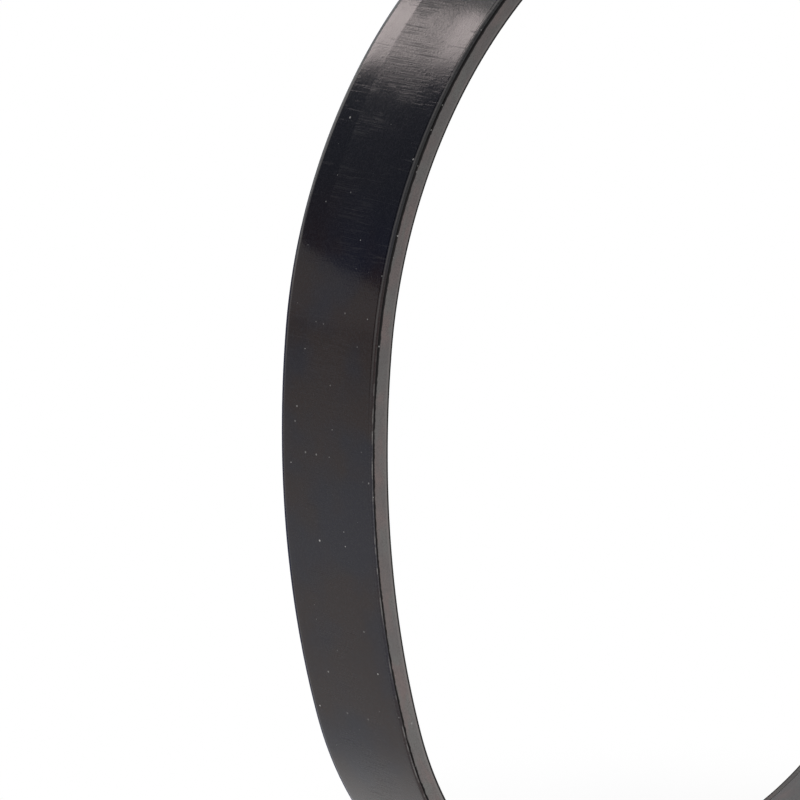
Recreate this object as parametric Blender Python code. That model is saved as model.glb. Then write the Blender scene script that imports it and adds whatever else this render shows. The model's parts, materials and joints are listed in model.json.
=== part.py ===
"""Smooth endless rubber track band: a laminated belt with no lugs, standing free on its own foot.

The loop stands in the XZ plane on a flat foot at Z = 0, with the wheel axis along Y.  From the outside in it
holds a tread cover, two crossed bias plies, a cushion gum, a layer of two wound steel cables with gum between
their turns, a second cushion gum, an inner bias ply and a cover for the wheels.  A strip of edge gum closes
each side.  Units are metres.
"""

import math
from collections import namedtuple

import bmesh
import bpy

# Loop: outline of the outer face as the band stands free, seen along the wheel axis
BAND_WIDTH = 0.100
FOOT_LENGTH = 0.120
LOWER_RADIUS = 0.3035
LOWER_SWEEP = math.radians(72.4)
SIDE_RADIUS = 0.749
SIDE_SWEEP = math.radians(23.9)

# Layers, from the ground side to the wheel side
TREAD_COVER = 0.0026
BIAS_PLY = 0.0008
CUSHION_GUM = 0.0012
CABLE_DIAMETER = 0.0024
WHEEL_COVER = 0.0056
LAYER_GAP = 0.0003

# Edges
EDGE_GUM_WIDTH = 0.006
SHOULDER_RADIUS = 0.0020
INNER_CORNER_RADIUS = 0.0012
SEAM_CHAMFER = 0.0008

# Cable layer: one cable of each lay, wound side by side as a double thread
CABLE_TURNS = 4
CABLE_SIDES = 6

# Steps along each arc of the loop, and round a rounded corner
LOWER_STEPS = 10
SIDE_STEPS = 4
CROWN_STEPS = 12
CORNER_STEPS = 3
WELD = 0.000001

BLACK_RUBBER = (0.012, 0.012, 0.013)
GREY_RUBBER = (0.085, 0.082, 0.080)
CARCASS_GUM = (0.030, 0.027, 0.025)
PLY_FABRIC = (0.230, 0.190, 0.140)
STEEL_WIRE = (0.520, 0.510, 0.490)

HALF_WIDTH = BAND_WIDTH / 2
CORE_HALF_WIDTH = HALF_WIDTH - EDGE_GUM_WIDTH - LAYER_GAP

Stretch = namedtuple("Stretch", "centre radius sweep steps length")


def layer_depths():
    """Depth below the outer face at which each layer starts, and the depth of the inside face."""
    stack = (
        ("tread_cover", TREAD_COVER),
        ("outer_bias_ply", BIAS_PLY),
        ("cross_bias_ply", BIAS_PLY),
        ("outer_cushion_gum", CUSHION_GUM),
        ("cable_layer", CABLE_DIAMETER),
        ("inner_cushion_gum", CUSHION_GUM),
        ("inner_bias_ply", BIAS_PLY),
        ("wheel_cover", WHEEL_COVER),
    )
    depths = {}
    depth = 0.0
    for layer, thickness in stack:
        depths[layer] = depth
        depth += thickness + LAYER_GAP
    depths["inside"] = depth - LAYER_GAP
    return depths


def arc(centre, radius, sweep, steps):
    return Stretch(centre, radius, sweep, steps, radius * sweep)


def right_arcs():
    """The arcs of the right half, from the foot up to the crown; the crown's radius closes the loop at X = 0."""
    turned = LOWER_SWEEP + SIDE_SWEEP
    lower_x, lower_z = FOOT_LENGTH / 2, LOWER_RADIUS
    flatter = SIDE_RADIUS - LOWER_RADIUS
    side_x = lower_x - flatter * math.sin(LOWER_SWEEP)
    side_z = lower_z + flatter * math.cos(LOWER_SWEEP)
    rounder = -side_x / math.sin(turned)
    crown_z = side_z - rounder * math.cos(turned)
    return [
        arc((lower_x, 0.0, lower_z), LOWER_RADIUS, LOWER_SWEEP, LOWER_STEPS),
        arc((side_x, 0.0, side_z), SIDE_RADIUS, SIDE_SWEEP, SIDE_STEPS),
        arc((0.0, 0.0, crown_z), SIDE_RADIUS - rounder, math.pi - turned, CROWN_STEPS),
    ]


def mirrored(stretch):
    x, y, z = stretch.centre
    return stretch._replace(centre=(-x, y, z))


DEPTHS = layer_depths()
FOOT = Stretch((0.0, 0.0, 0.0), 0.0, 0.0, 1, FOOT_LENGTH)
RISE = right_arcs()
FALL = [mirrored(stretch) for stretch in reversed(RISE)]
LAP_FROM_FOOT = [FOOT] + RISE + FALL
LAP_FROM_CROWN = FALL + [FOOT] + RISE
LAP_LENGTH = sum(stretch.length for stretch in LAP_FROM_FOOT)
CROWN_HEIGHT = RISE[-1].centre[2] + RISE[-1].radius


def material(name, colour, roughness, metallic=0.0):
    made = bpy.data.materials.new(name)
    made.use_nodes = True
    shader = made.node_tree.nodes["Principled BSDF"]
    shader.inputs["Base Color"].default_value = (*colour, 1.0)
    shader.inputs["Roughness"].default_value = roughness
    shader.inputs["Metallic"].default_value = metallic
    return made


def at_foot(profile):
    """A (depth, y) profile as points at the foot's left end, where every lap starts."""
    return [(-FOOT_LENGTH / 2, y, depth) for depth, y in profile]


def at_crown(profile):
    """A (depth, y) profile as points at the top of the loop."""
    return [(0.0, y, CROWN_HEIGHT - depth) for depth, y in profile]


def carry(mesh, edges, stretch, climb):
    """Spins the profile's edges along one stretch of the loop; climb is the drift along Y for a whole lap."""
    drift = climb * stretch.length / LAP_LENGTH / stretch.steps
    straight = 0.0 if stretch.sweep else stretch.length
    spun = bmesh.ops.spin(
        mesh,
        geom=edges,
        cent=stretch.centre,
        axis=(0.0, -1.0, 0.0),
        angle=stretch.sweep,
        steps=stretch.steps,
        dvec=(straight, drift, 0.0),
    )
    return [item for item in spun["geom_last"] if isinstance(item, bmesh.types.BMEdge)]


def sweep(name, profile, route, finish, climb=0.0):
    """One closed solid: the profile carried along the route, welded to its start or capped at both ends."""
    mesh = bmesh.new()
    corners = [mesh.verts.new(point) for point in profile]
    edges = [mesh.edges.new(pair) for pair in zip(corners, corners[1:] + corners[:1])]
    for stretch in route:
        edges = carry(mesh, edges, stretch, climb)
    if climb:
        bmesh.ops.holes_fill(mesh, edges=[edge for edge in mesh.edges if edge.is_boundary])
    else:
        bmesh.ops.remove_doubles(mesh, verts=mesh.verts, dist=WELD)
    bmesh.ops.recalc_face_normals(mesh, faces=mesh.faces)
    data = bpy.data.meshes.new(name)
    mesh.to_mesh(data)
    mesh.free()
    data.materials.append(finish)
    data.shade_smooth()
    data.set_sharp_from_angle(angle=math.radians(25))
    made = bpy.data.objects.new(name, data)
    bpy.context.scene.collection.objects.link(made)
    return made


def flat_layer(name, thickness, finish):
    """A layer of the core, between the two strips of edge gum."""
    top = DEPTHS[name]
    bottom = top + thickness
    reach = CORE_HALF_WIDTH
    profile = [(top, -reach), (top, reach), (bottom, reach), (bottom, -reach)]
    return sweep(name, at_foot(profile), LAP_FROM_FOOT, finish)


def rounded_corner(depth, y, radius, start):
    """Points of a quarter turn about (depth, y), from the start angle, with depth at angle zero."""
    angles = [start + math.pi / 2 * step / CORNER_STEPS for step in range(CORNER_STEPS + 1)]
    return [(depth + radius * math.cos(angle), y + radius * math.sin(angle)) for angle in angles]


def tread_cover(finish):
    """The ground-side cover: full width, with both outer shoulders rounded."""
    reach = HALF_WIDTH - SHOULDER_RADIUS
    far = rounded_corner(SHOULDER_RADIUS, reach, SHOULDER_RADIUS, math.pi / 2)
    near = rounded_corner(SHOULDER_RADIUS, -reach, SHOULDER_RADIUS, math.pi)
    under = [(TREAD_COVER, -HALF_WIDTH), (TREAD_COVER, HALF_WIDTH)]
    return sweep("tread_cover", at_foot(far + near + under), LAP_FROM_FOOT, finish)


def edge_gum(name, side, finish):
    """The strip that closes one side, from the seam under the tread cover to the wheel side."""
    top = DEPTHS["outer_bias_ply"]
    bottom = DEPTHS["inside"]
    inner = HALF_WIDTH - EDGE_GUM_WIDTH
    seam = [(top, inner), (top, HALF_WIDTH - SEAM_CHAMFER), (top + SEAM_CHAMFER, HALF_WIDTH)]
    corner_depth = bottom - INNER_CORNER_RADIUS
    corner_y = HALF_WIDTH - INNER_CORNER_RADIUS
    corner = rounded_corner(corner_depth, corner_y, INNER_CORNER_RADIUS, 0.0)
    profile = seam + corner[::-1] + [(bottom, inner)]
    return sweep(name, at_foot([(depth, side * y) for depth, y in profile]), LAP_FROM_FOOT, finish)


def lane_pitch():
    """Distance between neighbouring turns of the double thread of cables."""
    lanes = 2 * CABLE_TURNS + 1
    return (2 * (CORE_HALF_WIDTH - LAYER_GAP) - CABLE_DIAMETER) / lanes


def lane_start(lane):
    """Y of a thread where it starts, that many lanes from the first cable."""
    return -CORE_HALF_WIDTH + LAYER_GAP + CABLE_DIAMETER / 2 + lane * lane_pitch()


def tension_cable(name, lane, finish):
    """One steel cable, wound CABLE_TURNS times round the loop without a splice."""
    radius = CABLE_DIAMETER / 2
    middle = DEPTHS["cable_layer"] + radius
    angles = [math.tau * side / CABLE_SIDES for side in range(CABLE_SIDES)]
    profile = [(middle + radius * math.cos(a), lane_start(lane) + radius * math.sin(a)) for a in angles]
    made = sweep(name, at_foot(profile), LAP_FROM_FOOT * CABLE_TURNS, finish, climb=2 * lane_pitch())
    print(f"{name}: least gap to itself {1000 * least_gap(made.data):.2f} mm")
    return made


def least_gap(data):
    """Clear distance between a wound cable's own turns, measured where they cross the foot's left end."""
    crossings = sorted(v.co.y for v in data.vertices if abs(v.co.x + FOOT_LENGTH / 2) < WELD)
    steps = [after - here for here, after in zip(crossings, crossings[1:])]
    return min(step for step in steps if step > CABLE_DIAMETER)


def insulation_gum(name, profile_at, lane, route, finish):
    """The gum that fills the cable layer between two neighbouring turns, wound with them."""
    half = (lane_pitch() - CABLE_DIAMETER) / 2 - LAYER_GAP
    top = DEPTHS["cable_layer"]
    bottom = top + CABLE_DIAMETER
    y = lane_start(lane)
    profile = [(top, y - half), (top, y + half), (bottom, y + half), (bottom, y - half)]
    return sweep(name, profile_at(profile), route, finish, climb=2 * lane_pitch())


def main():
    for old in list(bpy.data.objects):
        bpy.data.objects.remove(old)

    black = material("black_rubber", BLACK_RUBBER, 0.30)
    grey = material("edge_rubber", GREY_RUBBER, 0.70)
    gum = material("carcass_gum", CARCASS_GUM, 0.75)
    fabric = material("ply_fabric", PLY_FABRIC, 0.90)
    steel = material("steel_wire", STEEL_WIRE, 0.35, 1.0)

    tread_cover(black)
    flat_layer("outer_bias_ply", BIAS_PLY, fabric)
    flat_layer("cross_bias_ply", BIAS_PLY, fabric)
    flat_layer("outer_cushion_gum", CUSHION_GUM, gum)
    tension_cable("tension_cable_s", 0, steel)
    tension_cable("tension_cable_z", 1, steel)
    insulation_gum("insulation_gum_s", at_foot, 0.5, LAP_FROM_FOOT * CABLE_TURNS, gum)
    insulation_gum("insulation_gum_z", at_crown, 0.5, LAP_FROM_CROWN * CABLE_TURNS, gum)
    flat_layer("inner_cushion_gum", CUSHION_GUM, gum)
    flat_layer("inner_bias_ply", BIAS_PLY, fabric)
    flat_layer("wheel_cover", WHEEL_COVER, black)
    edge_gum("near_edge_gum", -1, grey)
    edge_gum("far_edge_gum", 1, grey)


main()
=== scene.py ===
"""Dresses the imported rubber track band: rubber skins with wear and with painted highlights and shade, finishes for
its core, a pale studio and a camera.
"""

import json
import math
from collections import namedtuple

import bmesh
import bpy
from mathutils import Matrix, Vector, noise


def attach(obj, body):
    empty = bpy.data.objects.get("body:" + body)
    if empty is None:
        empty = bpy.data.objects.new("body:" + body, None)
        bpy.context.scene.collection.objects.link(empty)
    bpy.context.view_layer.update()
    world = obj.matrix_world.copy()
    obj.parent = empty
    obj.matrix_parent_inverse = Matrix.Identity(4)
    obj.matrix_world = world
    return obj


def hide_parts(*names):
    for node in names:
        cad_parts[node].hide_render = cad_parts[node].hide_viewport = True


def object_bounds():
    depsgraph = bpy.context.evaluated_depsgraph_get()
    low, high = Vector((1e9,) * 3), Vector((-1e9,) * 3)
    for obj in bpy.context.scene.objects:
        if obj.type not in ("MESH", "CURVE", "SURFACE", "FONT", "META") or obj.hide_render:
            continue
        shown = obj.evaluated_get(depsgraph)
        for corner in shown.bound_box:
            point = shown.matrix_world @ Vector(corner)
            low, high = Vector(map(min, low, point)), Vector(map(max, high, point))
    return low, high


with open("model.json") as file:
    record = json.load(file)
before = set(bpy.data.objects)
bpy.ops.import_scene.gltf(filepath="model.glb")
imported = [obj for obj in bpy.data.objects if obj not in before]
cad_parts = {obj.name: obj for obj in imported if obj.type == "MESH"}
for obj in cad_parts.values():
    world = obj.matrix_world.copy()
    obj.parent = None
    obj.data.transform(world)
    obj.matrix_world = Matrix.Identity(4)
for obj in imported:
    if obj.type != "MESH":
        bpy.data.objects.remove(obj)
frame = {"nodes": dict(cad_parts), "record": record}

bl_info = {
    "name": "Rubber track band",
    "version": (1, 0, 0),
    "blender": (4, 5, 0),
    "location": "View3D > Sidebar > Track",
    "description": "Builds the skins, finishes and studio of a smooth endless rubber track",
    "category": "Object",
}

CAD_BOX = [list(corner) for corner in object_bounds()]
CAD_WIDTH = CAD_BOX[1][1] - CAD_BOX[0][1]
CAD_HEIGHT = CAD_BOX[1][2] - CAD_BOX[0][2]
BODY = "root"
UV_NAME = "band_uv"
WELD = 0.000001
ASKEW = (0.7, 0.5, 0.3)

# Corners (x, z) of the dark cards behind the loop, and the colour of the lamp between them.
SIDE_FLAG = ((-0.66, 1.90), (-1.60, 1.90), (-1.60, 0.64), (-0.66, 1.02))
NEAR_FLAG = ((-0.38, 0.612), (-0.38, 0.74), (-0.62, 0.74), (-0.62, 0.575))
HORIZON_FLAG = ((-0.85, 0.50), (-0.85, 1.00), (-1.45, 1.00), (-1.45, 0.50))
BACK_FLAG = ((-0.10, 0.02), (-0.10, 0.84), (-0.24, 0.78), (-0.43, 0.52), (-0.42, 0.25), (-0.28, 0.02))
WARM = (1.0, 0.868, 0.855)
DARK_CARD = (0.08, 0.10, 0.18)
GREY_CARD = (0.72, 0.71, 0.72)

# The tread falls away to its sides over these soft facets: (in from the side, below the face, rounding).
FAR_CROWN = ((0.0, 0.0017, 0.0002), (0.0008, 0.0012, 0.0003), (0.0034, 0.00025, 0.0006), (0.0050, 0.0, 0.0006))
NEAR_CROWN = ((0.0, 0.0011, 0.0002), (0.0005, 0.0006, 0.0002), (0.0013, 0.0001, 0.0003), (0.0024, 0.0, 0.0004))

# Distances along the loop, from the foot's middle, over which the fine groove opens and the painted seam shade
# widens.
OPENING = (0.69, 0.77)
GROOVE_CLOSES = 0.9

# Distances along the loop over which the stains on the tread fade out towards the crown.
CLEANING = (0.76, 0.90)

# Distances along the loop over which the wear in the tread's lane comes in towards the crown.
WEARING = (0.92, 1.04)

Stretch = namedtuple("Stretch", "centre radius sweep steps length")


class BandShape(bpy.types.PropertyGroup):
    """Sizes of the band, as the CAD model has them, and how finely the skins are cut."""

    width: bpy.props.FloatProperty(
        name="Width", description="Across the band", default=CAD_WIDTH, unit="LENGTH")
    thickness: bpy.props.FloatProperty(
        name="Thickness", description="From the ground side to the wheel side", default=0.0175, unit="LENGTH")
    foot_length: bpy.props.FloatProperty(
        name="Foot", description="Flat stretch that the loop stands on", default=0.120, unit="LENGTH")
    lower_radius: bpy.props.FloatProperty(
        name="Lower radius", description="Outer radius beside the foot", default=0.3035, unit="LENGTH")
    lower_sweep: bpy.props.FloatProperty(
        name="Lower sweep", description="Turn of the lower arcs", default=math.radians(72.4), subtype="ANGLE")
    side_radius: bpy.props.FloatProperty(
        name="Side radius", description="Outer radius of the sides", default=0.749, unit="LENGTH")
    side_sweep: bpy.props.FloatProperty(
        name="Side sweep", description="Turn of the side arcs", default=math.radians(23.9), subtype="ANGLE")
    tread_cover: bpy.props.FloatProperty(
        name="Tread cover", description="Thickness of the ground-side cover", default=0.0026, unit="LENGTH")
    wheel_cover: bpy.props.FloatProperty(
        name="Wheel cover", description="Thickness of the wheel-side cover", default=0.0056, unit="LENGTH")
    seam_gap: bpy.props.FloatProperty(
        name="Seam", description="Gap between neighbouring layers", default=0.0003, unit="LENGTH")
    edge_width: bpy.props.FloatProperty(
        name="Edge gum", description="Width of the strip on each side", default=0.006, unit="LENGTH")
    groove_inset: bpy.props.FloatProperty(
        name="Groove inset", description="From the near side to the fine groove", default=0.0034, unit="LENGTH")
    groove_width: bpy.props.FloatProperty(
        name="Groove width", description="Width of the fine groove", default=0.0005, unit="LENGTH")
    groove_depth: bpy.props.FloatProperty(
        name="Groove depth", description="Depth of the fine groove", default=0.0005, unit="LENGTH")
    lip: bpy.props.FloatProperty(
        name="Lip", description="Depth at which the tread's sides step in", default=0.0019, unit="LENGTH")
    undercut: bpy.props.FloatProperty(
        name="Undercut", description="How far the tread's sides step in", default=0.0010, unit="LENGTH")
    inner_corner: bpy.props.FloatProperty(
        name="Inner corner", description="Radius of the inner corners", default=0.0012, unit="LENGTH")
    seam_chamfer: bpy.props.FloatProperty(
        name="Seam chamfer", description="Corner cut off beside the seam", default=0.0008, unit="LENGTH")
    seam_wander: bpy.props.FloatProperty(
        name="Seam wander", description="How far the trimmed seam strays", default=0.0007, unit="LENGTH")
    cut_length: bpy.props.FloatProperty(
        name="Cut length", description="Distance between two cuts along the loop", default=0.004, unit="LENGTH")


class BandColours(bpy.types.PropertyGroup):
    """Base colours of the finishes."""

    tread: bpy.props.FloatVectorProperty(
        name="Tread", description="Glossy ground-side rubber", default=(0.0090, 0.0085, 0.0178), subtype="COLOR")
    clean: bpy.props.FloatVectorProperty(
        name="Clean tread", description="Tread near the crown", default=(0.0112, 0.0112, 0.0120), subtype="COLOR")
    stain: bpy.props.FloatVectorProperty(
        name="Stain", description="Brown bloom on the tread", default=(0.0182, 0.0088, 0.0083), subtype="COLOR")
    haze: bpy.props.FloatVectorProperty(
        name="Haze", description="Scuffed tread", default=(0.028, 0.027, 0.032), subtype="COLOR")
    # Painted highlight: the pale lines along the tread's shoulders and crowns.
    shoulder_highlight: bpy.props.FloatVectorProperty(
        name="Worn crown", description="Rubbed line along each shoulder", default=(0.110, 0.103, 0.100),
        subtype="COLOR")
    # Painted shade: this colour darkens the tread's undercut, the ragged seam and the edge strip's inner corner.
    seam: bpy.props.FloatVectorProperty(
        name="Seam", description="Dirt in the seam and at the inner corner", default=(0.012, 0.011, 0.011),
        subtype="COLOR")
    edge: bpy.props.FloatVectorProperty(
        name="Edge", description="Matte trimmed edge", default=(0.146, 0.133, 0.128), subtype="COLOR")
    wheel: bpy.props.FloatVectorProperty(
        name="Wheel side", description="Matte inside face", default=(0.105, 0.099, 0.098), subtype="COLOR")
    gum: bpy.props.FloatVectorProperty(
        name="Gum", description="Rubber round the cables", default=(0.030, 0.027, 0.025), subtype="COLOR")
    fabric: bpy.props.FloatVectorProperty(
        name="Ply cord", description="Cord fabric of the plies", default=(0.230, 0.190, 0.140), subtype="COLOR")
    steel: bpy.props.FloatVectorProperty(
        name="Cable", description="Steel of the cables", default=(0.520, 0.510, 0.490), subtype="COLOR")
    dust: bpy.props.FloatVectorProperty(
        name="Dust", description="Lint and dust specks", default=(0.560, 0.550, 0.530), subtype="COLOR")
    floor: bpy.props.FloatVectorProperty(
        name="Floor", description="Studio floor", default=(0.900, 0.900, 0.900), subtype="COLOR")


class StudioSetup(bpy.types.PropertyGroup):
    """Camera and lamps."""

    azimuth: bpy.props.FloatProperty(
        name="Azimuth", description="Camera's turn about Z, from the front", default=math.radians(-43.644),
        subtype="ANGLE")
    elevation: bpy.props.FloatProperty(
        name="Elevation", description="Camera's height angle", default=math.radians(13.286), subtype="ANGLE")
    distance: bpy.props.FloatProperty(
        name="Distance", description="From the camera to its aim", default=4.3726, unit="LENGTH")
    lens: bpy.props.FloatProperty(
        name="Lens", description="Focal length", default=248.407, unit="CAMERA")
    aim: bpy.props.FloatVectorProperty(
        name="Aim", description="Point in the middle of the picture", default=(-0.1632, 0.1512, 0.4124),
        subtype="TRANSLATION")
    overhead: bpy.props.FloatProperty(
        name="Overhead lamp", description="Soft lamp over the loop", default=10.0, unit="POWER")
    front: bpy.props.FloatProperty(
        name="Front lamp", description="Soft lamp in front of the loop", default=5.0, unit="POWER")
    low: bpy.props.FloatProperty(
        name="Low lamp", description="Small lamp low in front of the loop", default=1.1, unit="POWER")
    window: bpy.props.FloatProperty(
        name="Window lamp", description="Small lamp that the tread mirrors", default=2.2, unit="POWER")
    window_place: bpy.props.FloatVectorProperty(
        name="Window place", description="Middle of the window lamp", default=(-0.500, 0.80, 1.42),
        subtype="TRANSLATION")
    side_flag: bpy.props.FloatProperty(
        name="Side flag", description="How far back the large dark card stands", default=0.80, unit="LENGTH")
    near_flag: bpy.props.FloatProperty(
        name="Near flag", description="How far back the dark card close to the tread stands", default=0.12,
        unit="LENGTH")
    back_flag: bpy.props.FloatProperty(
        name="Back flag", description="How far back the small dark card stands", default=0.22, unit="LENGTH")
    horizon_flag: bpy.props.FloatProperty(
        name="Horizon flag", description="How far back the grey card stands", default=0.85, unit="LENGTH")
    pool_fade: bpy.props.FloatProperty(
        name="Pool fade", description="How fast the lit floor dims outwards, per metre", default=0.12)
    pool_shade: bpy.props.FloatProperty(
        name="Pool shade", description="Share of the lit floor's light left in a ring round the loop", default=0.83,
        subtype="FACTOR")


def arc(centre, radius, sweep, cut):
    length = radius * sweep
    return Stretch(centre, radius, sweep, max(1, round(length / cut)), length)


class Loop:
    """The band's outer outline: a foot, and arcs that rise to the crown and fall back to the foot."""

    def __init__(self, shape):
        self.shape = shape
        turned = shape.lower_sweep + shape.side_sweep
        lower_x, lower_z = shape.foot_length / 2, shape.lower_radius
        flatter = shape.side_radius - shape.lower_radius
        side_x = lower_x - flatter * math.sin(shape.lower_sweep)
        side_z = lower_z + flatter * math.cos(shape.lower_sweep)
        rounder = -side_x / math.sin(turned)
        crown_z = side_z - rounder * math.cos(turned)
        self.rise = [
            arc((lower_x, 0.0, lower_z), shape.lower_radius, shape.lower_sweep, shape.cut_length),
            arc((side_x, 0.0, side_z), shape.side_radius, shape.side_sweep, shape.cut_length),
            arc((0.0, 0.0, crown_z), shape.side_radius - rounder, math.pi - turned, shape.cut_length),
        ]
        foot_steps = round(shape.foot_length / shape.cut_length)
        self.foot = Stretch((0.0, 0.0, 0.0), 0.0, 0.0, foot_steps, shape.foot_length)
        fall = [s._replace(centre=(-s.centre[0], 0.0, s.centre[2])) for s in reversed(self.rise)]
        self.lap = [self.foot] + self.rise + fall

    def place(self, point):
        """Distance from the foot's middle along the outer face, either way, and depth below that face."""
        x = abs(point.x)
        if x <= self.shape.foot_length / 2 and point.z < self.shape.lower_radius / 2:
            return x, point.z
        gone, turned = self.shape.foot_length / 2, 0.0
        for stretch in self.rise:
            across, down = x - stretch.centre[0], stretch.centre[2] - point.z
            heading = math.atan2(across, down) % math.tau
            if heading <= turned + stretch.sweep + WELD:
                break
            gone += stretch.length
            turned += stretch.sweep
        return gone + stretch.radius * (heading - turned), stretch.radius - math.hypot(across, down)


def lay_profile(mesh, loop, corners, segments, cuts):
    """A closed profile of (depth, y, rounding) corners at the foot's left end, with its long sides cut."""
    start = -loop.shape.foot_length / 2
    verts = [mesh.verts.new((start, y, depth)) for depth, y, rounding in corners]
    mesh.faces.new(verts)
    for vert, (depth, y, rounding) in zip(verts, corners):
        if rounding:
            bmesh.ops.bevel(
                mesh, geom=[vert], offset=rounding, affect="VERTICES", segments=segments, profile=0.5, material=-1)
    bmesh.ops.delete(mesh, geom=mesh.faces[:], context="FACES_ONLY")
    longest = max(edge.calc_length() for edge in mesh.edges)
    wide = [edge for edge in mesh.edges if edge.calc_length() > longest / 2]
    bmesh.ops.subdivide_edges(mesh, edges=wide, cuts=cuts)
    return mesh.edges[:]


def carry(mesh, edges, stretch):
    """Spins the profile along one stretch of the loop."""
    straight = 0.0 if stretch.sweep else stretch.length / stretch.steps
    spun = bmesh.ops.spin(
        mesh, geom=edges, cent=stretch.centre, axis=(0.0, -1.0, 0.0), angle=stretch.sweep,
        steps=stretch.steps, dvec=(straight, 0.0, 0.0))
    return [item for item in spun["geom_last"] if isinstance(item, bmesh.types.BMEdge)]


def sweep_skin(name, loop, corners, segments, cuts, across, wander, material):
    """One closed skin: the profile swept round the loop, strayed by wander, with its UV map in metres."""
    mesh = bmesh.new()
    edges = lay_profile(mesh, loop, corners, segments, cuts)
    for stretch in loop.lap:
        edges = carry(mesh, edges, stretch)
    bmesh.ops.remove_doubles(mesh, verts=mesh.verts, dist=WELD)
    bmesh.ops.recalc_face_normals(mesh, faces=mesh.faces)
    layer = mesh.loops.layers.uv.new(UV_NAME)
    spots = {}
    for vert in mesh.verts:
        along, depth = loop.place(vert.co)
        spots[vert] = along, across(depth, vert.co.y)
        vert.co.y += wander(along, depth, vert.co.y)
    for face in mesh.faces:
        face.smooth = True
        side = math.copysign(1.0, face.calc_center_median().x)
        for corner in face.loops:
            along, over = spots[corner.vert]
            corner[layer].uv = (along * side, over)
    data = bpy.data.meshes.new(name)
    mesh.to_mesh(data)
    mesh.free()
    data.set_sharp_from_angle(angle=math.radians(40.0))
    data.materials.append(material)
    piece = bpy.data.objects.new(name, data)
    bpy.context.scene.collection.objects.link(piece)
    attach(piece, BODY)
    return piece


def stray(along, seed):
    """A wavering value from -1 to 1 along the loop, coarse with a finer tremble on it."""
    coarse = noise.noise(Vector((along * 22.0, seed, 0.0)))
    fine = noise.noise(Vector((along * 150.0, seed, 7.0)))
    return 0.5 * coarse + 0.5 * fine


def opened(along):
    """Nought near the foot and one on the upper loop."""
    share = min(1.0, max(0.0, (along - OPENING[0]) / (OPENING[1] - OPENING[0])))
    return share * share * (3.0 - 2.0 * share)


def socket_of(value):
    return isinstance(value, bpy.types.NodeSocket)


def add_node(tree, kind, inputs=None, **settings):
    """Adds a node, sets its options, and links or sets its inputs by name or number."""
    made = tree.nodes.new(kind)
    for key, value in settings.items():
        setattr(made, key, value)
    for key, value in (inputs or {}).items():
        if socket_of(value):
            tree.links.new(value, made.inputs[key])
        else:
            made.inputs[key].default_value = value
    return made


def maths(tree, operation, first, second=0.0, third=0.0):
    made = add_node(tree, "ShaderNodeMath", {0: first, 1: second, 2: third}, operation=operation)
    return made.outputs[0]


def ramp(tree, value, low, high, to_low=0.0, to_high=1.0):
    """Smooth step of a value from low to high."""
    made = add_node(
        tree, "ShaderNodeMapRange",
        {"Value": value, "From Min": low, "From Max": high, "To Min": to_low, "To Max": to_high},
        interpolation_type="SMOOTHSTEP")
    return made.outputs["Result"]


def window(tree, value, low, high, soft):
    """One between low and high, fading out over soft on both sides."""
    return maths(tree, "MULTIPLY", ramp(tree, value, low - soft, low), ramp(tree, value, high + soft, high))


def blend(tree, factor, first, second):
    """Mixes two colours."""
    made = add_node(tree, "ShaderNodeMix", data_type="RGBA")
    for index, value in ((0, factor), (6, first), (7, second)):
        if socket_of(value):
            tree.links.new(value, made.inputs[index])
        elif index == 0:
            made.inputs[index].default_value = value
        else:
            made.inputs[index].default_value = (*value[:3], 1.0)
    return made.outputs[2]


def noise_at(tree, vector, scale, stretch=(1.0, 1.0, 1.0), detail=3.0, distortion=0.0):
    """Noise laid askew to the surface, so that its grid never shows."""
    askew = add_node(tree, "ShaderNodeMapping", {"Vector": vector, "Scale": stretch, "Rotation": ASKEW})
    made = add_node(
        tree, "ShaderNodeTexNoise",
        {"Vector": askew.outputs["Vector"], "Scale": scale, "Detail": detail, "Distortion": distortion})
    return made.outputs["Fac"]


def new_group(name, inputs, outputs):
    """An empty shader node group with its sockets, and the nodes that stand for them."""
    group = bpy.data.node_groups.new(name, "ShaderNodeTree")
    for label, kind, default in inputs:
        socket = group.interface.new_socket(name=label, in_out="INPUT", socket_type=kind)
        if default is not None:
            socket.default_value = default
    for label in outputs:
        group.interface.new_socket(name=label, in_out="OUTPUT", socket_type="NodeSocketFloat")
    return group, group.nodes.new("NodeGroupInput").outputs, group.nodes.new("NodeGroupOutput").inputs


def dust_group():
    """Sparse bright specks: a few cells of a fine cell pattern show a small round dot."""
    group, given, result = new_group(
        "Dust specks",
        [("Vector", "NodeSocketVector", None), ("Cells per metre", "NodeSocketFloat", 90.0),
         ("Share of cells", "NodeSocketFloat", 0.13), ("Dot size", "NodeSocketFloat", 0.085)],
        ["Mask"])
    cells = add_node(group, "ShaderNodeTexVoronoi", {"Vector": given[0], "Scale": given[1]}, voronoi_dimensions="2D")
    chance = add_node(group, "ShaderNodeSeparateColor", {0: cells.outputs["Color"]})
    chosen = maths(group, "LESS_THAN", chance.outputs[0], given[2])
    spread = maths(group, "MULTIPLY_ADD", chance.outputs[1], 0.7, 0.3)
    size = maths(group, "MULTIPLY", given[3], spread)
    inside = maths(group, "SUBTRACT", size, cells.outputs["Distance"])
    dot = ramp(group, inside, 0.0, 0.02)
    bright = maths(group, "MULTIPLY_ADD", maths(group, "POWER", chance.outputs[2], 3.0), 0.80, 0.20)
    group.links.new(maths(group, "MULTIPLY", maths(group, "MULTIPLY", chosen, dot), bright), result[0])
    return group


def mottle_group():
    """Broad uneven tone with a fine grain, both about one half."""
    group, given, result = new_group(
        "Rubber mottle",
        [("Vector", "NodeSocketVector", None), ("Broad scale", "NodeSocketFloat", 30.0),
         ("Grain scale", "NodeSocketFloat", 900.0)],
        ["Broad", "Grain"])
    group.links.new(noise_at(group, given[0], given[1]), result[0])
    group.links.new(noise_at(group, given[0], given[2], detail=2.0), result[1])
    return group


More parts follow.
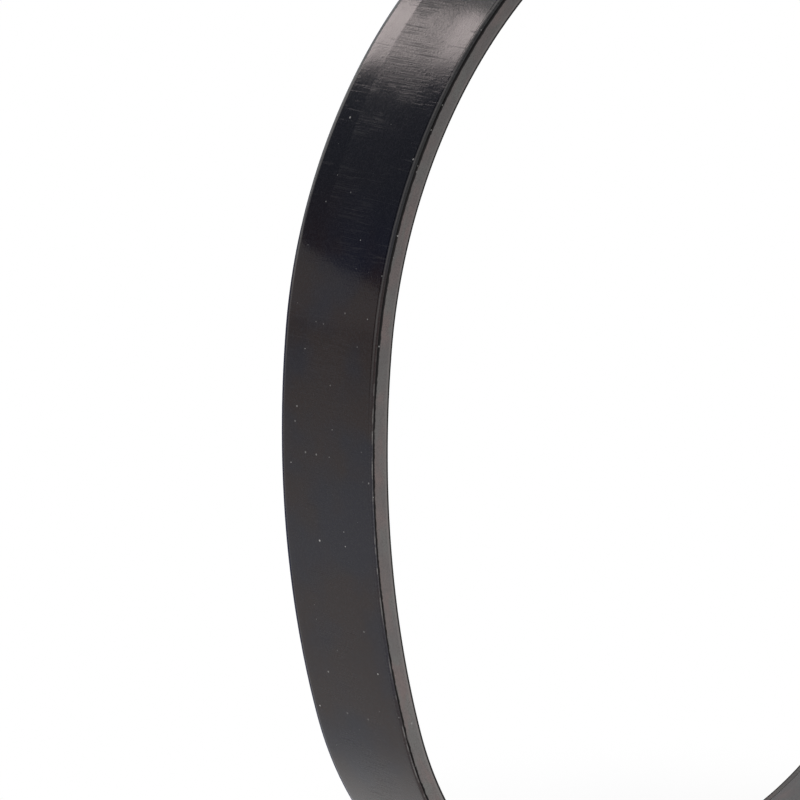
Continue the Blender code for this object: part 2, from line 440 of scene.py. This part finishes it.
def scratch_group():
    """Single scratches across the band and along it, and dense brush marks across it, all in patches."""
    group, given, result = new_group(
        "Rubber scratches",
        [("Vector", "NodeSocketVector", None), ("Amount", "NodeSocketFloat", 0.5)],
        ["Across", "Along", "Brushed"])
    patches = noise_at(group, given[0], 1.0, stretch=(30.0, 22.0, 1.0), detail=2.0)
    gathered = ramp(group, patches, 0.40, 0.62)
    elsewhere = ramp(group, patches, 0.36, 0.28)
    kinds = (
        ((640.0, 28.0, 1.0), 0.61, 0.70, gathered),
        ((20.0, 800.0, 1.0), 0.64, 0.73, elsewhere),
        ((1000.0, 30.0, 1.0), 0.42, 0.74, gathered),
    )
    for index, (stretch, low, high, where) in enumerate(kinds):
        lines = noise_at(group, given[0], 1.0, stretch=stretch, distortion=0.5)
        patched = maths(group, "MULTIPLY", ramp(group, lines, low, high), where)
        group.links.new(maths(group, "MULTIPLY", patched, given[1]), result[index])
    return group


def use_group(tree, group, vector, **values):
    made = add_node(tree, "ShaderNodeGroup", node_tree=group)
    tree.links.new(vector, made.inputs["Vector"])
    for label, value in values.items():
        made.inputs[label.replace("_", " ")].default_value = value
    return made.outputs


def effect(name):
    """A shared effect, built the first time that it is asked for."""
    makers = {"Dust specks": dust_group, "Rubber mottle": mottle_group, "Rubber scratches": scratch_group}
    return bpy.data.node_groups.get(name) or makers[name]()


def new_material(name):
    made = bpy.data.materials.new(name)
    made.use_nodes = True
    tree = made.node_tree
    return made, tree, tree.nodes["Principled BSDF"].inputs


def surface_vector(tree):
    return add_node(tree, "ShaderNodeUVMap", uv_map=UV_NAME).outputs["UV"]


def object_vector(tree):
    return add_node(tree, "ShaderNodeTexCoord").outputs["Object"]


def tinted(colour, red, green, blue):
    return colour[0] * red, colour[1] * green, colour[2] * blue


def bump(tree, height, strength, distance):
    made = add_node(
        tree, "ShaderNodeBump", {"Height": height, "Strength": strength, "Distance": distance})
    return made.outputs["Normal"]


def along_and_across(tree, vector):
    """Distance from the foot's middle along the loop, and the place across the unrolled skin."""
    parts = add_node(tree, "ShaderNodeSeparateXYZ", {0: vector}).outputs
    return maths(tree, "ABSOLUTE", parts["X"]), parts["Y"]


def tread_material(colours, shape):
    """Glossy black rubber: a brushed lane, scratches, brown and violet stains, pale painted highlight lines along the
    shoulders, painted shade in the undercut, and lint.
    """
    made, tree, shader = new_material("glossy_tread_rubber")
    vector = surface_vector(tree)
    along, across = along_and_across(tree, vector)
    mottle = use_group(tree, effect("Rubber mottle"), object_vector(tree), Broad_scale=14.0, Grain_scale=520.0)
    scratches = use_group(tree, effect("Rubber scratches"), vector, Amount=1.0)
    dust = use_group(tree, effect("Dust specks"), vector)
    clouds = noise_at(tree, vector, 150.0)
    upper = ramp(tree, along, *OPENING)
    lower = maths(tree, "SUBTRACT", 1.0, upper)

    wavering = maths(tree, "MULTIPLY_ADD", mottle["Broad"], 0.006, across)
    lane = maths(tree, "MULTIPLY", ramp(tree, wavering, 0.0292, 0.0278), ramp(tree, wavering, -0.034, -0.008))
    wearing = ramp(tree, along, *WEARING)
    strength = ramp(tree, along, *WEARING, 0.85, 1.0)
    brushed = maths(tree, "MULTIPLY", maths(tree, "MULTIPLY", lane, scratches["Brushed"]), strength)
    lines = maths(tree, "MULTIPLY", maths(tree, "MAXIMUM", scratches["Across"], scratches["Along"]), strength)
    marks = maths(tree, "MAXIMUM", maths(tree, "MULTIPLY", brushed, 0.5), maths(tree, "MULTIPLY", lines, 0.7))
    scuff = maths(tree, "MULTIPLY_ADD", lane, 0.30, marks)
    trembling = maths(tree, "MULTIPLY_ADD", noise_at(tree, vector, 1.0, stretch=(160.0, 20.0, 1.0)), 0.0006, across)
    crown = ramp(tree, maths(tree, "ABSOLUTE", across), 0.0472, 0.0478)
    # Painted highlight: pale lines along both crowns on the upper loop, beside the near seam on the lower loop, and
    # faintly over the crowns low down.
    fold = maths(
        tree, "MAXIMUM", window(tree, trembling, -0.0487, -0.0473, 0.0003), window(tree, trembling, 0.0453, 0.0468, 0.0003))
    broken = ramp(tree, noise_at(tree, vector, 1.0, stretch=(90.0, 40.0, 1.0)), 0.44, 0.60)
    near_highlight_line = maths(tree, "MULTIPLY", window(tree, trembling, -0.0511, -0.0502, 0.0003), maths(tree, "MULTIPLY", lower, broken))
    # Painted shade: the tread's undercut and back are darkened with the seam's shade colour.
    deep = ramp(tree, maths(tree, "ABSOLUTE", across), shape.width / 2 + shape.lip - 0.0003, shape.width / 2 + shape.lip)
    pale = maths(tree, "MAXIMUM", maths(tree, "MULTIPLY", fold, maths(tree, "MULTIPLY", upper, 0.45)), near_highlight_line)
    shoulder_highlight_mask = maths(tree, "MAXIMUM", pale, maths(tree, "MULTIPLY", crown, maths(tree, "MULTIPLY", lower, 0.12)))

    stained = blend(tree, ramp(tree, mottle["Broad"], 0.38, 0.60), colours.tread, colours.stain)
    fresh = ramp(tree, along, *CLEANING)
    cleaned = blend(tree, fresh, stained, colours.clean)
    specks = maths(tree, "MULTIPLY", ramp(tree, mottle["Grain"], 0.42, 0.70), ramp(tree, fresh, 0.0, 1.0, 0.35, 0.25))
    speckled = blend(tree, specks, cleaned, colours.haze)
    hazed = blend(tree, maths(tree, "MULTIPLY", scuff, 0.14), speckled, colours.haze)
    shoulder_highlight = blend(tree, shoulder_highlight_mask, hazed, colours.shoulder_highlight)
    undercut_shaded = blend(tree, deep, shoulder_highlight, colours.seam)
    tree.links.new(blend(tree, dust["Mask"], undercut_shaded, colours.dust), shader["Base Color"])

    smooth = maths(tree, "MULTIPLY_ADD", lane, 0.035, 0.080)
    clouded = maths(tree, "MULTIPLY_ADD", clouds, 0.10, smooth)
    rubbed = maths(tree, "MULTIPLY_ADD", brushed, 0.30, clouded)
    scratched = maths(tree, "MULTIPLY_ADD", lines, 0.28, rubbed)
    dulled = maths(tree, "MULTIPLY_ADD", crown, 0.10, scratched)
    dull = maths(tree, "MULTIPLY_ADD", deep, 0.60, dulled)
    rough = maths(tree, "MULTIPLY_ADD", mottle["Grain"], 0.08, dull)
    tree.links.new(maths(tree, "MAXIMUM", rough, dust["Mask"]), shader["Roughness"])
    shader["Specular IOR Level"].default_value = 0.22
    bared = maths(tree, "MULTIPLY", lane, wearing)
    tree.links.new(maths(tree, "SUBTRACT", 1.0, bared), shader["Coat Weight"])
    shader["Coat Roughness"].default_value = 0.12
    shader["Coat IOR"].default_value = 1.18

    grains = maths(tree, "MULTIPLY_ADD", mottle["Grain"], 2.2, clouds)
    raised = maths(tree, "MULTIPLY_ADD", brushed, -1.8, grains)
    grooves = maths(tree, "MULTIPLY_ADD", lines, -2.4, raised)
    tree.links.new(bump(tree, grooves, 0.12, 0.0004), shader["Normal"])
    return made


def warm_and_cool(tree, vector, colour):
    """A grey that drifts between a pinkish and a greenish cast."""
    hue = noise_at(tree, vector, 1.0, stretch=(34.0, 90.0, 1.0))
    return blend(
        tree, ramp(tree, hue, 0.42, 0.58), tinted(colour, 0.97, 1.08, 1.06), tinted(colour, 1.14, 0.98, 0.97))


def edge_material(colours, shape):
    """Matte trimmed rubber: mottled grey, trim marks, painted shade along the ragged seam and in the inner corner,
    and a painted highlight on the rim before that corner.
    """
    made, tree, shader = new_material("trimmed_edge_rubber")
    vector = surface_vector(tree)
    along, depth = along_and_across(tree, vector)
    mottle = use_group(tree, effect("Rubber mottle"), object_vector(tree), Broad_scale=34.0, Grain_scale=1100.0)
    dust = use_group(tree, effect("Dust specks"), vector, Share_of_cells=0.03)
    trim = noise_at(tree, vector, 1.0, stretch=(40.0, 1600.0, 1.0), detail=2.0)
    nicks = noise_at(tree, vector, 1.0, stretch=(230.0, 60.0, 1.0), detail=2.0)

    tone = maths(tree, "MULTIPLY_ADD", mottle["Broad"], 0.6, maths(tree, "MULTIPLY", trim, 0.3))
    hued = warm_and_cool(tree, vector, colours.edge)
    toned = blend(tree, ramp(tree, tone, 0.32, 0.60), tinted(colours.edge, 0.84, 0.87, 0.89), hued)
    grained = blend(tree, ramp(tree, mottle["Grain"], 0.42, 0.70), toned, tinted(colours.edge, 0.70, 0.70, 0.70))
    corner = shape.thickness - shape.inner_corner
    # Painted shade: the inner corner is darkened.
    inner = window(tree, depth, corner - 0.0007, shape.thickness + shape.inner_corner + 0.0006, 0.0005)
    # Painted highlight: the rim just before the inner corner is lightened.
    rim_highlight = window(tree, depth, corner - 0.0022, corner - 0.0012, 0.0010)
    rim_highlighted = blend(tree, maths(tree, "MULTIPLY", rim_highlight, 0.5), grained, tinted(colours.edge, 1.25, 1.25, 1.25))
    top = shape.tread_cover + shape.seam_gap
    # Painted shade along the ragged seam, widening on the upper loop.
    raised = maths(tree, "MULTIPLY_ADD", ramp(tree, along, *OPENING), -0.0009, depth)
    ragged = maths(tree, "MULTIPLY_ADD", nicks, -0.0014, raised)
    seam = ramp(tree, ragged, top + 0.0002, top - 0.0003)
    dark = maths(tree, "MAXIMUM", inner, seam)
    corner_and_seam_shaded = blend(tree, dark, rim_highlighted, colours.seam)
    lint = use_group(tree, effect("Dust specks"), vector, Cells_per_metre=240.0, Share_of_cells=0.16, Dot_size=0.16)
    caught = maths(tree, "MULTIPLY", lint["Mask"], window(tree, depth, top + 0.0004, top + 0.0016, 0.0003))
    dusted = blend(tree, maths(tree, "MAXIMUM", dust["Mask"], caught), corner_and_seam_shaded, colours.dust)
    tree.links.new(dusted, shader["Base Color"])
    tree.links.new(maths(tree, "MULTIPLY_ADD", mottle["Grain"], 0.15, 0.55), shader["Roughness"])
    shader["Specular IOR Level"].default_value = 0.15
    height = maths(tree, "MULTIPLY_ADD", trim, 0.6, mottle["Grain"])
    tree.links.new(bump(tree, height, 0.25, 0.0004), shader["Normal"])
    return made


def wheel_material(colours):
    """Matte inside face: soft streaks along the band from the mould, a fine grain and a little dust."""
    made, tree, shader = new_material("matte_wheel_rubber")
    vector = surface_vector(tree)
    mottle = use_group(tree, effect("Rubber mottle"), vector, Broad_scale=40.0, Grain_scale=1300.0)
    scratches = use_group(tree, effect("Rubber scratches"), vector, Amount=0.6)
    dust = use_group(tree, effect("Dust specks"), vector, Share_of_cells=0.02)
    streaks = noise_at(tree, vector, 1.0, stretch=(6.0, 260.0, 1.0))
    tone = maths(tree, "MULTIPLY_ADD", streaks, 0.5, maths(tree, "MULTIPLY", mottle["Broad"], 0.5))
    toned = blend(
        tree, ramp(tree, tone, 0.35, 0.65), tinted(colours.wheel, 0.82, 0.82, 0.84),
        warm_and_cool(tree, vector, tinted(colours.wheel, 1.10, 1.10, 1.10)))
    marked = blend(tree, scratches["Along"], toned, tinted(colours.wheel, 0.6, 0.6, 0.6))
    tree.links.new(blend(tree, dust["Mask"], marked, colours.dust), shader["Base Color"])
    tree.links.new(maths(tree, "MULTIPLY_ADD", streaks, 0.15, 0.48), shader["Roughness"])
    tree.links.new(bump(tree, mottle["Grain"], 0.18, 0.0004), shader["Normal"])
    return made


def gum_material(colours):
    """Raw carcass gum: dull, with a broad uneven tone."""
    made, tree, shader = new_material("raw_gum")
    mottle = use_group(tree, effect("Rubber mottle"), object_vector(tree), Broad_scale=45.0)
    toned = blend(tree, mottle["Broad"], tinted(colours.gum, 0.7, 0.7, 0.7), tinted(colours.gum, 1.3, 1.3, 1.3))
    tree.links.new(toned, shader["Base Color"])
    tree.links.new(maths(tree, "MULTIPLY_ADD", mottle["Grain"], 0.2, 0.6), shader["Roughness"])
    tree.links.new(bump(tree, mottle["Grain"], 0.2, 0.0004), shader["Normal"])
    return made


def fabric_material(colours):
    """Rubberised cord fabric: cords on the bias with dark rubber between them."""
    made, tree, shader = new_material("bias_cord_fabric")
    vector = object_vector(tree)
    mottle = use_group(tree, effect("Rubber mottle"), vector)
    cords = add_node(
        tree, "ShaderNodeTexWave", {"Vector": vector, "Scale": 260.0, "Distortion": 0.6, "Detail": 1.0},
        bands_direction="DIAGONAL")
    cord = maths(tree, "MULTIPLY", cords.outputs["Fac"], ramp(tree, mottle["Grain"], 0.2, 0.6))
    tree.links.new(blend(tree, cord, colours.gum, colours.fabric), shader["Base Color"])
    tree.links.new(maths(tree, "MULTIPLY_ADD", cord, 0.2, 0.7), shader["Roughness"])
    tree.links.new(bump(tree, cords.outputs["Fac"], 0.5, 0.0003), shader["Normal"])
    return made


def cable_material(colours):
    """Brass-washed steel strands, twisted, with dull rubber left between them."""
    made, tree, shader = new_material("stranded_steel")
    vector = object_vector(tree)
    mottle = use_group(tree, effect("Rubber mottle"), vector)
    strands = add_node(
        tree, "ShaderNodeTexWave", {"Vector": vector, "Scale": 420.0, "Distortion": 0.3}, bands_direction="DIAGONAL")
    strand = ramp(tree, strands.outputs["Fac"], 0.15, 0.5)
    tree.links.new(blend(tree, strand, colours.gum, colours.steel), shader["Base Color"])
    tree.links.new(strand, shader["Metallic"])
    tree.links.new(maths(tree, "MULTIPLY_ADD", mottle["Grain"], 0.25, 0.3), shader["Roughness"])
    tree.links.new(bump(tree, strands.outputs["Fac"], 0.6, 0.0003), shader["Normal"])
    return made


class TRACK_OT_tread_skin(bpy.types.Operator):
    """Build the glossy ground-side cover with its rounded shoulders"""

    bl_idname = "track_band.tread_skin"
    bl_label = "Tread skin"

    def execute(self, context):
        shape = context.scene.band_shape
        half = shape.width / 2
        crown_start = half - NEAR_CROWN[-1][0]
        groove_end = shape.groove_inset - half
        groove_start = groove_end + shape.groove_width
        groove_middle = (groove_start + groove_end) / 2
        far_crown = [(drop, half - inset, rounding) for inset, drop, rounding in FAR_CROWN]
        groove = [
            (0.0, groove_start, 0.0),
            (shape.groove_depth, groove_start, 0.0),
            (shape.groove_depth, groove_end, 0.0),
            (0.0, groove_end, 0.0),
        ]
        near_crown = [(drop, inset - half, rounding) for inset, drop, rounding in reversed(NEAR_CROWN)]
        inside = half - shape.undercut
        back = [
            (shape.lip, -half, 0.0),
            (shape.lip, -inside, 0.0),
            (shape.tread_cover, -inside, 0.0),
            (shape.tread_cover, inside, 0.0),
            (shape.lip, inside, 0.0),
            (shape.lip, half, 0.0),
        ]

        def unrolled(depth, y):
            reach = half if depth > shape.lip - WELD else abs(y)
            return math.copysign(reach + depth, y)

        def wander(along, depth, y):
            if abs(y - groove_middle) < shape.groove_width:
                return (groove_middle - y) * GROOVE_CLOSES * (1.0 - opened(along))
            edge = max(0.0, abs(y) - crown_start) / (half - crown_start)
            return -math.copysign(edge * shape.seam_gap, y) * (0.5 + 0.5 * stray(along, math.copysign(3.0, y)))

        skin = sweep_skin(
            "tread_skin", Loop(shape), far_crown + groove + near_crown + back, 3, 15, unrolled, wander,
            tread_material(context.scene.band_colours, shape))
        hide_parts("tread_cover")
        return {"FINISHED"}


class TRACK_OT_edge_skins(bpy.types.Operator):
    """Build the matte strip on each side of the band"""

    bl_idname = "track_band.edge_skins"
    bl_label = "Edge skins"

    def execute(self, context):
        shape = context.scene.band_shape
        material = edge_material(context.scene.band_colours, shape)
        for name, node, side in (("near_edge_skin", "near_edge_gum", -1), ("far_edge_skin", "far_edge_gum", 1)):
            skin = self.strip(shape, name, side, material)
            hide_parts(node)
        return {"FINISHED"}

    def strip(self, shape, name, side, material):
        half = shape.width / 2
        inner = half - shape.edge_width
        top = shape.tread_cover + shape.seam_gap
        profile = [
            (top, inner, 0.0),
            (top, half - shape.seam_chamfer, 0.0),
            (top + shape.seam_chamfer, half, 0.0),
            (shape.thickness, half, shape.inner_corner),
            (shape.thickness, inner, 0.0),
        ]
        seam_end = top + 2.0 * shape.seam_chamfer

        def unrolled(depth, y):
            return depth + half - abs(y) if depth > shape.thickness / 2 else depth

        def wander(along, depth, y):
            near_seam = max(0.0, seam_end - depth) / (2.0 * shape.seam_chamfer)
            outside = max(0.0, abs(y) - inner) / shape.edge_width
            return -side * near_seam * outside * shape.seam_wander * (0.5 + 0.5 * stray(along, 5.0 * side))

        corners = [(depth, side * y, rounding) for depth, y, rounding in profile]
        return sweep_skin(name, Loop(shape), corners, 6, 7, unrolled, wander, material)


class TRACK_OT_wheel_skin(bpy.types.Operator):
    """Build the smooth inside face that the wheels run on"""

    bl_idname = "track_band.wheel_skin"
    bl_label = "Wheel skin"

    def execute(self, context):
        shape = context.scene.band_shape
        reach = shape.width / 2 - shape.edge_width - shape.seam_gap
        top = shape.thickness - shape.wheel_cover
        rounding = shape.seam_gap
        corners = [
            (top, reach, 0.0),
            (top, -reach, 0.0),
            (shape.thickness, -reach, rounding),
            (shape.thickness, reach, rounding),
        ]
        skin = sweep_skin(
            "wheel_skin", Loop(shape), corners, 3, 15, lambda depth, y: y, lambda along, depth, y: 0.0,
            wheel_material(context.scene.band_colours))
        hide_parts("wheel_cover")
        return {"FINISHED"}


class TRACK_OT_core_finishes(bpy.types.Operator):
    """Give the hidden plies, gums and cables their finishes"""

    bl_idname = "track_band.core_finishes"
    bl_label = "Core finishes"

    def execute(self, context):
        colours = context.scene.band_colours
        finishes = {
            "carcass_gum": gum_material(colours),
            "ply_fabric": fabric_material(colours),
            "cable_steel": cable_material(colours),
        }
        slots = {row["node"]: row["material_slot"] for row in frame["record"]["subparts"]}
        for node, piece in frame["nodes"].items():
            finish = finishes.get(slots[node])
            if finish:
                piece.data.materials.clear()
                piece.data.materials.append(finish)
        return {"FINISHED"}


class TRACK_OT_stage(bpy.types.Operator):
    """Set the floor, the soft lamps, the pale surroundings and the camera"""

    bl_idname = "track_band.stage"
    bl_label = "Stage"

    def execute(self, context):
        studio = context.scene.studio_setup
        self.floor(studio, context.scene.band_colours.floor)
        self.surroundings(context.scene)
        middle = Vector((0.0, 0.0, CAD_HEIGHT / 2))
        self.lamp("overhead_lamp", Vector((0.0, 0.2, 2.4)), middle, (1.4, 1.4), studio.overhead)
        self.lamp("front_lamp", Vector((0.9, -2.4, 1.4)), middle, (1.2, 1.2), studio.front)
        self.lamp("low_lamp", Vector((-0.45, -0.60, 0.20)), Vector((-0.30, 0.0, 0.10)), (0.36, 0.26), studio.low)
        place = Vector(studio.window_place)
        self.lamp("window_lamp", place, place - Vector((0.0, 1.0, 0.0)), (0.28, 0.44), studio.window, WARM)
        self.flag("side_flag", studio.side_flag, SIDE_FLAG, DARK_CARD)
        self.flag("near_flag", studio.near_flag, NEAR_FLAG, DARK_CARD)
        self.flag("back_flag", studio.back_flag, BACK_FLAG, DARK_CARD)
        self.flag("horizon_flag", studio.horizon_flag, HORIZON_FLAG, GREY_CARD)
        self.camera(context.scene, studio)
        context.scene.view_settings.view_transform = "Standard"
        return {"FINISHED"}

    def floor(self, studio, colour):
        """A pale disc: white to the camera, a lit pool that fades outwards to gloss, and matte to soft light."""
        mesh = bmesh.new()
        bmesh.ops.create_circle(mesh, cap_ends=True, radius=40.0, segments=64)
        floor, tree = self.stage_piece("floor", mesh, "pale_floor")
        matte = add_node(tree, "ShaderNodeBsdfDiffuse", {"Color": (*colour, 1.0)})
        away = add_node(tree, "ShaderNodeVectorMath", {0: object_vector(tree)}, operation="LENGTH").outputs["Value"]
        path = add_node(tree, "ShaderNodeLightPath").outputs
        mirrored = maths(tree, "MAXIMUM", path["Is Glossy Ray"], path["Is Transmission Ray"])
        ring = maths(tree, "MULTIPLY", ramp(tree, away, 0.38, 0.50), ramp(tree, away, 1.30, 0.50))
        shaded = maths(tree, "MULTIPLY_ADD", ring, studio.pool_shade - 1.0, 1.0)
        pool = maths(tree, "DIVIDE", shaded, maths(tree, "MULTIPLY_ADD", away, studio.pool_fade, 1.0))
        strength = maths(tree, "MULTIPLY_ADD", mirrored, maths(tree, "SUBTRACT", pool, 1.0), 1.0)
        white = add_node(tree, "ShaderNodeEmission", {"Color": (1.0, 1.0, 1.0, 1.0), "Strength": strength})
        shown = maths(tree, "MULTIPLY", path["Is Camera Ray"], ramp(tree, away, 0.05, 0.45, 0.78, 1.0))
        seen = maths(tree, "MAXIMUM", mirrored, shown)
        mixed = add_node(tree, "ShaderNodeMixShader", {0: seen, 1: matte.outputs[0], 2: white.outputs[0]})
        add_node(tree, "ShaderNodeOutputMaterial", {"Surface": mixed.outputs[0]})

    def stage_piece(self, name, mesh, finish):
        """A stage object from a bmesh, with an empty node tree for its finish."""
        data = bpy.data.meshes.new(name)
        mesh.to_mesh(data)
        mesh.free()
        piece = bpy.data.objects.new(name, data)
        bpy.context.scene.collection.objects.link(piece)
        made = bpy.data.materials.new(finish)
        made.use_nodes = True
        made.node_tree.nodes.clear()
        data.materials.append(made)
        return made, made.node_tree

    def seen_directly(self, tree):
        """One for what the camera sees, straight or in a gloss or a glass; nought for soft light."""
        path = add_node(tree, "ShaderNodeLightPath")
        mirrored = maths(tree, "MAXIMUM", path.outputs["Is Glossy Ray"], path.outputs["Is Transmission Ray"])
        return maths(tree, "MAXIMUM", path.outputs["Is Camera Ray"], mirrored)

    def flag(self, name, depth, corners, colour):
        """A card behind the loop that only the gloss sees."""
        mesh = bmesh.new()
        mesh.faces.new([mesh.verts.new((x, depth, z)) for x, z in corners])
        made, tree = self.stage_piece(name, mesh, name + "_card")
        made.cycles.emission_sampling = "NONE"
        clear = add_node(tree, "ShaderNodeBsdfTransparent")
        dark = add_node(tree, "ShaderNodeEmission", {"Color": (*colour, 1.0), "Strength": 1.0})
        path = add_node(tree, "ShaderNodeLightPath")
        mixed = add_node(
            tree, "ShaderNodeMixShader", {0: path.outputs["Is Glossy Ray"], 1: clear.outputs[0], 2: dark.outputs[0]})
        add_node(tree, "ShaderNodeOutputMaterial", {"Surface": mixed.outputs[0]})

    def surroundings(self, scene):
        """White to the camera and in reflections, and a softer white light on all else."""
        world = bpy.data.worlds.new("studio")
        scene.world = world
        world.use_nodes = True
        tree = world.node_tree
        tree.nodes.clear()
        shown = blend(tree, self.seen_directly(tree), (0.60, 0.60, 0.61), (1.0, 1.0, 1.0))
        light = add_node(tree, "ShaderNodeBackground", {"Color": shown, "Strength": 1.0})
        add_node(tree, "ShaderNodeOutputWorld", {"Surface": light.outputs[0]})

    def lamp(self, name, place, aim, size, power, colour=(1.0, 1.0, 1.0)):
        data = bpy.data.lights.new(name, "AREA")
        data.shape = "ELLIPSE"
        data.size, data.size_y = size
        data.energy = power
        data.color = colour
        lamp = bpy.data.objects.new(name, data)
        lamp.location = place
        lamp.rotation_euler = (place - aim).to_track_quat("Z", "Y").to_euler()
        lamp.visible_camera = False
        bpy.context.scene.collection.objects.link(lamp)

    def camera(self, scene, studio):
        a, e = studio.azimuth, studio.elevation
        back = Vector((math.sin(a) * math.cos(e), -math.cos(a) * math.cos(e), math.sin(e)))
        data = bpy.data.cameras.new("photo_camera")
        data.lens = studio.lens
        data.clip_end = 100.0
        camera = bpy.data.objects.new("photo_camera", data)
        camera.location = Vector(studio.aim) + back * studio.distance
        camera.rotation_euler = back.to_track_quat("Z", "Y").to_euler()
        scene.collection.objects.link(camera)
        scene.camera = camera


OPERATORS = (TRACK_OT_tread_skin, TRACK_OT_edge_skins, TRACK_OT_wheel_skin, TRACK_OT_core_finishes, TRACK_OT_stage)


class TRACK_PT_band(bpy.types.Panel):
    """Lists the steps that dress the band"""

    bl_idname = "TRACK_PT_band"
    bl_label = "Rubber track band"
    bl_space_type = "VIEW_3D"
    bl_region_type = "UI"
    bl_category = "Track"

    def draw(self, context):
        for operator in OPERATORS:
            self.layout.operator(operator.bl_idname)


CLASSES = (BandShape, BandColours, StudioSetup, *OPERATORS, TRACK_PT_band)


def register():
    for made in CLASSES:
        bpy.utils.register_class(made)
    bpy.types.Scene.band_shape = bpy.props.PointerProperty(type=BandShape)
    bpy.types.Scene.band_colours = bpy.props.PointerProperty(type=BandColours)
    bpy.types.Scene.studio_setup = bpy.props.PointerProperty(type=StudioSetup)


def unregister():
    del bpy.types.Scene.studio_setup
    del bpy.types.Scene.band_colours
    del bpy.types.Scene.band_shape
    for made in reversed(CLASSES):
        bpy.utils.unregister_class(made)


def main():
    register()
    bpy.ops.track_band.tread_skin()
    bpy.ops.track_band.edge_skins()
    bpy.ops.track_band.wheel_skin()
    bpy.ops.track_band.core_finishes()
    bpy.ops.track_band.stage()


if __name__ == "__main__":
    main()
